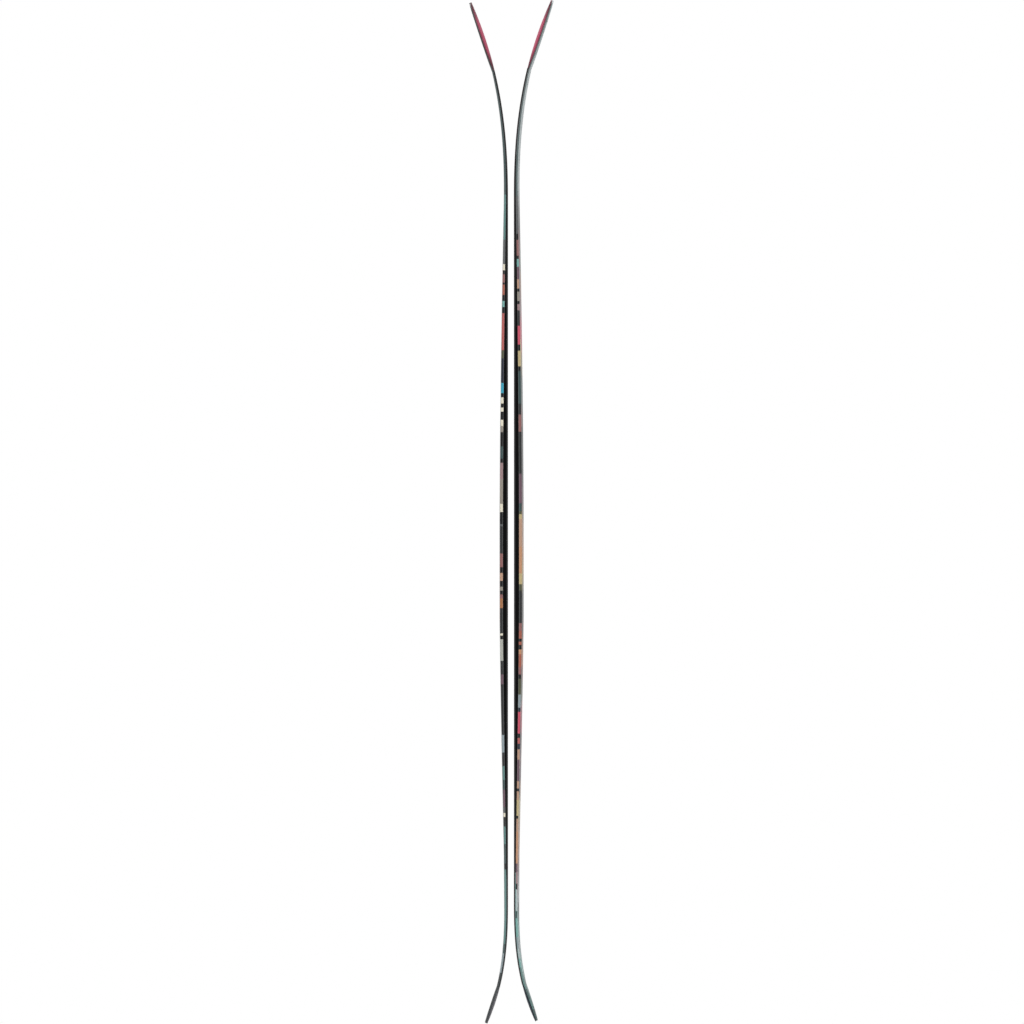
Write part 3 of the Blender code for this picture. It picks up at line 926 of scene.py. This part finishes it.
def wood_finish(name, light, dark, growth):
    """Sawn wood with its grain along the ski."""
    material, tree = new_finish(name)
    place = object_place(tree)
    wander = noise(tree, place, 22.0, (1.0, 1.0, 0.08))
    y = parts_of(tree, place)[1]
    rings = ((y * growth + wander * 7.0).call("SINE") * 0.5 + 0.5).clamped()
    pores = noise(tree, place, 1400.0, (1.0, 1.0, 0.03))
    grain = mix(tree, rings * 0.7, light, dark)
    shown = mix(tree, ((pores - 0.55) * 5.0).clamped() * 0.5, grain, dark)
    return dressed(material, shown, 0.60 + rings * 0.15, pores, 0.00008)


def plate_finish(colours):
    material, tree = new_finish("rolled plate", metallic=1.0)
    place = object_place(tree)
    rolled = noise(tree, place, 1600.0, (1.0, 1.0, 0.01))
    shown = mix(tree, rolled * 0.4, colours.metal, (0.3, 0.3, 0.32))
    return dressed(material, shown, 0.28 + rolled * 0.18, rolled, 0.00002)


def rubber_finish(colours):
    material, tree = new_finish("rubber foil")
    place = object_place(tree)
    grain = noise(tree, place, 1200.0)
    shown = mix(tree, grain * 0.5, colours.rubber, (0.05, 0.05, 0.05))
    return dressed(material, shown, 0.78 + grain * 0.15, grain, 0.00005)


# ---- Operators: one for each group of like pieces ----


def settings(context):
    return [getattr(context.scene, name) for name in GROUPS]


class SKIS_OT_topsheets(Operator):
    """Lofts both printed caps"""

    bl_idname = "skis.topsheets"
    bl_label = "Topsheets"

    def execute(self, context):
        form, layers, colours = settings(context)
        for ski in SIDES:
            finish = printed_finish(ski, colours)
            loft(context, ski, "topsheet", topsheet_section(layers), 0.0, form.length, finish)
        return {"FINISHED"}


class SKIS_OT_bases(Operator):
    """Lofts the running sheets and the coloured inlays of both ends"""

    bl_idname = "skis.bases"
    bl_label = "Bases and Inlays"

    def execute(self, context):
        form, layers, colours = settings(context)
        sheet = base_finish(colours)
        tail, tip, length = form.tail_wing_at, form.tip_wing_at, form.length
        crimson = inlay_finish("tip inlay sheet", colours.crimson, tip, length)
        tails = {"left": colours.ash, "right": colours.blue}
        for ski in SIDES:
            loft(context, ski, "base", base_section(layers), tail, tip, sheet)
            loft(context, ski, "tip_inlay", inlay_section(layers), tip + layers.joint, length, crimson)
            ash = inlay_finish(f"tail inlay sheet {ski}", tails[ski], -FADE, tail + FADE)
            loft(context, ski, "tail_inlay", inlay_section(layers), 0.0, tail - layers.joint, ash)
        return {"FINISHED"}


class SKIS_OT_steel_edges(Operator):
    """Lofts the four steel edges"""

    bl_idname = "skis.steel_edges"
    bl_label = "Steel Edges"

    def execute(self, context):
        form, layers, colours = settings(context)
        steel = steel_finish(colours)
        for ski in SIDES:
            for name, side in EDGES.items():
                start, end = form.tail_wing_at, form.tip_wing_at
                loft(context, ski, f"steel_edge_{name}", edge_section(layers), start, end, steel, side)
        return {"FINISHED"}


class SKIS_OT_sidewalls(Operator):
    """Lofts the sidewalls, and the spacers that carry them on to both ends"""

    bl_idname = "skis.sidewalls"
    bl_label = "Sidewalls and Spacers"

    def execute(self, context):
        form, layers, colours = settings(context)
        wall = plastic_finish("milled sidewall", colours.black, 1900.0)
        section = sidewall_section(layers)
        for ski in SIDES:
            for name, side in EDGES.items():
                loft(context, ski, f"sidewall_{name}", section, layers.core_from, layers.core_to, wall, side)
            tip, tail = layers.core_to + layers.joint, layers.core_from - layers.joint
            tip_filler, tail_filler = (
                plastic_finish(f"{end} spacer {ski}", INKS[ink], 1500.0)
                for end, ink in zip(("tip", "tail"), SPACER_INKS[ski])
            )
            loft(context, ski, "tip_spacer", spacer_section(layers), tip, form.length, tip_filler)
            loft(context, ski, "tail_spacer", spacer_section(layers), 0.0, tail, tail_filler)
        return {"FINISHED"}


class SKIS_OT_laminates(Operator):
    """Lofts the glass fibre layers"""

    bl_idname = "skis.laminates"
    bl_label = "Laminates"

    def execute(self, context):
        form, layers, colours = settings(context)
        glass = laminate_finish(colours)
        for ski in SIDES:
            loft(context, ski, "lower_laminate", lower_laminate_section(layers), 0.0, form.length, glass)
            loft(context, ski, "upper_laminate", upper_laminate_section(layers), 0.0, form.length, glass)
        return {"FINISHED"}


class SKIS_OT_core(Operator):
    """Gives the core strips, binding plates and foils inside both skis their finishes"""

    bl_idname = "skis.core"
    bl_label = "Cores, Plates and Foils"

    def execute(self, context):
        colours = context.scene.ski_colours
        light, dark = colours.wood, colours.dark_wood
        poplar = wood_finish("light core wood", light, tuple(0.7 * c for c in light), 900.0)
        ash_wood = wood_finish("dark core wood", dark, tuple(0.6 * c for c in dark), 1600.0)
        plate, foil = plate_finish(colours), rubber_finish(colours)
        finishes = {"core": poplar, "stringer": ash_wood, "plate": plate, "foil": foil}
        for name, node in frame["nodes"].items():
            if frame_slot(name) in finishes:
                node.data.materials.clear()
                node.data.materials.append(finishes[frame_slot(name)])
        return {"FINISHED"}


class SKIS_OT_stage(Operator):
    """Sets the pale floor, the soft lights, the sky and the camera"""

    bl_idname = "skis.stage"
    bl_label = "Stage"

    def execute(self, context):
        set_floor(context)
        set_lights(context)
        set_camera(context)
        return {"FINISHED"}


# ---- Stage ----

FLOOR_RADIUS = 3.6  # as far as the lights keep it white
FLOOR_SIDES = 96
FLOOR_GAP = 0.0005
FLOOR_COLOUR = (0.86, 0.86, 0.86, 1.0)
FLOOR_ROUGHNESS = 0.7
VIEW_HEIGHT = 1.8045  # height of the camera's view
VIEW_CENTRE = (0.0018, 0.9016)  # where it looks, across and up
CAMERA_DISTANCE = 6.0
CAMERA_REACH = 50.0
SKY_LIGHT = 0.28  # what the sky sheds on matt surfaces
SKY_GLEAM = 0.7  # what it shows in glossy ones; the eye sees it white
LIGHTS_AIM = (0.0, 0.0, 0.9)
LIGHTS = (  # name, place, size and power
    ("key", (-3.2, -4.2, 6.0), 3.0, 330.0),
    ("fill", (3.4, -3.8, 5.4), 3.0, 210.0),
    ("back left", (-3.4, 3.8, 5.4), 3.0, 190.0),
    ("back right", (3.2, 4.2, 5.6), 3.0, 190.0),
)


def set_floor(context):
    mesh = bpy.data.meshes.new("floor")
    turns = [2 * math.pi * i / FLOOR_SIDES for i in range(FLOOR_SIDES)]
    rim = [(FLOOR_RADIUS * math.cos(turn), FLOOR_RADIUS * math.sin(turn), -FLOOR_GAP) for turn in turns]
    mesh.from_pydata(rim, [], [range(FLOOR_SIDES)])
    floor = bpy.data.objects.new("floor", mesh)
    material = new_finish("pale floor", specular=0.2)[0]
    inputs = shader_inputs(material)
    inputs["Base Color"].default_value = FLOOR_COLOUR
    inputs["Roughness"].default_value = FLOOR_ROUGHNESS
    mesh.materials.append(material)
    context.scene.collection.objects.link(floor)


def add_light(context, name, place, size, power):
    data = bpy.data.lights.new(name, "AREA")
    data.shape, data.size, data.energy = "DISK", size, power
    light = bpy.data.objects.new(name, data)
    light.location = place
    light.rotation_mode = "QUATERNION"
    light.rotation_quaternion = (Vector(place) - Vector(LIGHTS_AIM)).to_track_quat("Z", "Y")
    context.scene.collection.objects.link(light)


def set_lights(context):
    world = bpy.data.worlds.new("soft sky")
    world.use_nodes = True
    tree = world.node_tree
    seen, shining = tree.nodes["Background"], tree.nodes.new("ShaderNodeBackground")
    seen.inputs["Color"].default_value = (1.0, 1.0, 1.0, 1.0)
    path, both = tree.nodes.new("ShaderNodeLightPath"), tree.nodes.new("ShaderNodeMixShader")
    gleam = Field(tree, path.outputs["Is Glossy Ray"]) * (SKY_GLEAM - SKY_LIGHT)
    feed(tree, shining.inputs["Strength"], gleam + SKY_LIGHT)
    tree.links.new(path.outputs["Is Camera Ray"], both.inputs[0])
    tree.links.new(shining.outputs[0], both.inputs[1])
    tree.links.new(seen.outputs[0], both.inputs[2])
    tree.links.new(both.outputs[0], tree.nodes["World Output"].inputs["Surface"])
    context.scene.world = world
    context.scene.view_settings.view_transform = "Standard"
    for light in LIGHTS:
        add_light(context, *light)


def set_camera(context):
    data = bpy.data.cameras.new("camera")
    data.type, data.ortho_scale = "ORTHO", VIEW_HEIGHT
    data.clip_end = CAMERA_REACH
    camera = bpy.data.objects.new("camera", data)
    camera.location = (VIEW_CENTRE[0], -CAMERA_DISTANCE, VIEW_CENTRE[1])
    camera.rotation_euler = (math.radians(90), 0.0, 0.0)
    context.scene.collection.objects.link(camera)
    context.scene.camera = camera


class SKIS_PT_panel(Panel):
    """Lists the steps that make the pair, in order"""

    bl_idname = "SKIS_PT_panel"
    bl_label = "Freeride Skis"
    bl_space_type = "VIEW_3D"
    bl_region_type = "UI"
    bl_category = "Skis"

    def draw(self, context):
        for step in STEPS:
            self.layout.operator(step.bl_idname)
        self.layout.prop(context.scene.ski_colours, "crimson")
        self.layout.prop(context.scene.ski_layers, "lip")
        self.layout.prop(context.scene.ski_form, "length")


STEPS = (
    SKIS_OT_stage, SKIS_OT_bases, SKIS_OT_steel_edges, SKIS_OT_sidewalls, SKIS_OT_laminates,
    SKIS_OT_topsheets, SKIS_OT_core,
)  # fmt: skip
GROUPS = {"ski_form": SkiForm, "ski_layers": SkiLayers, "ski_colours": SkiColours}
CLASSES = (*GROUPS.values(), *STEPS, SKIS_PT_panel)


def register():
    for item in CLASSES:
        bpy.utils.register_class(item)
    for name, group in GROUPS.items():
        setattr(bpy.types.Scene, name, PointerProperty(type=group))


def unregister():
    for name in GROUPS:
        delattr(bpy.types.Scene, name)
    for item in reversed(CLASSES):
        bpy.utils.unregister_class(item)


def main():
    register()
    bpy.ops.skis.stage()
    bpy.ops.skis.bases()
    bpy.ops.skis.steel_edges()
    bpy.ops.skis.sidewalls()
    bpy.ops.skis.laminates()
    bpy.ops.skis.topsheets()
    bpy.ops.skis.core()


if __name__ == "__main__":
    main()
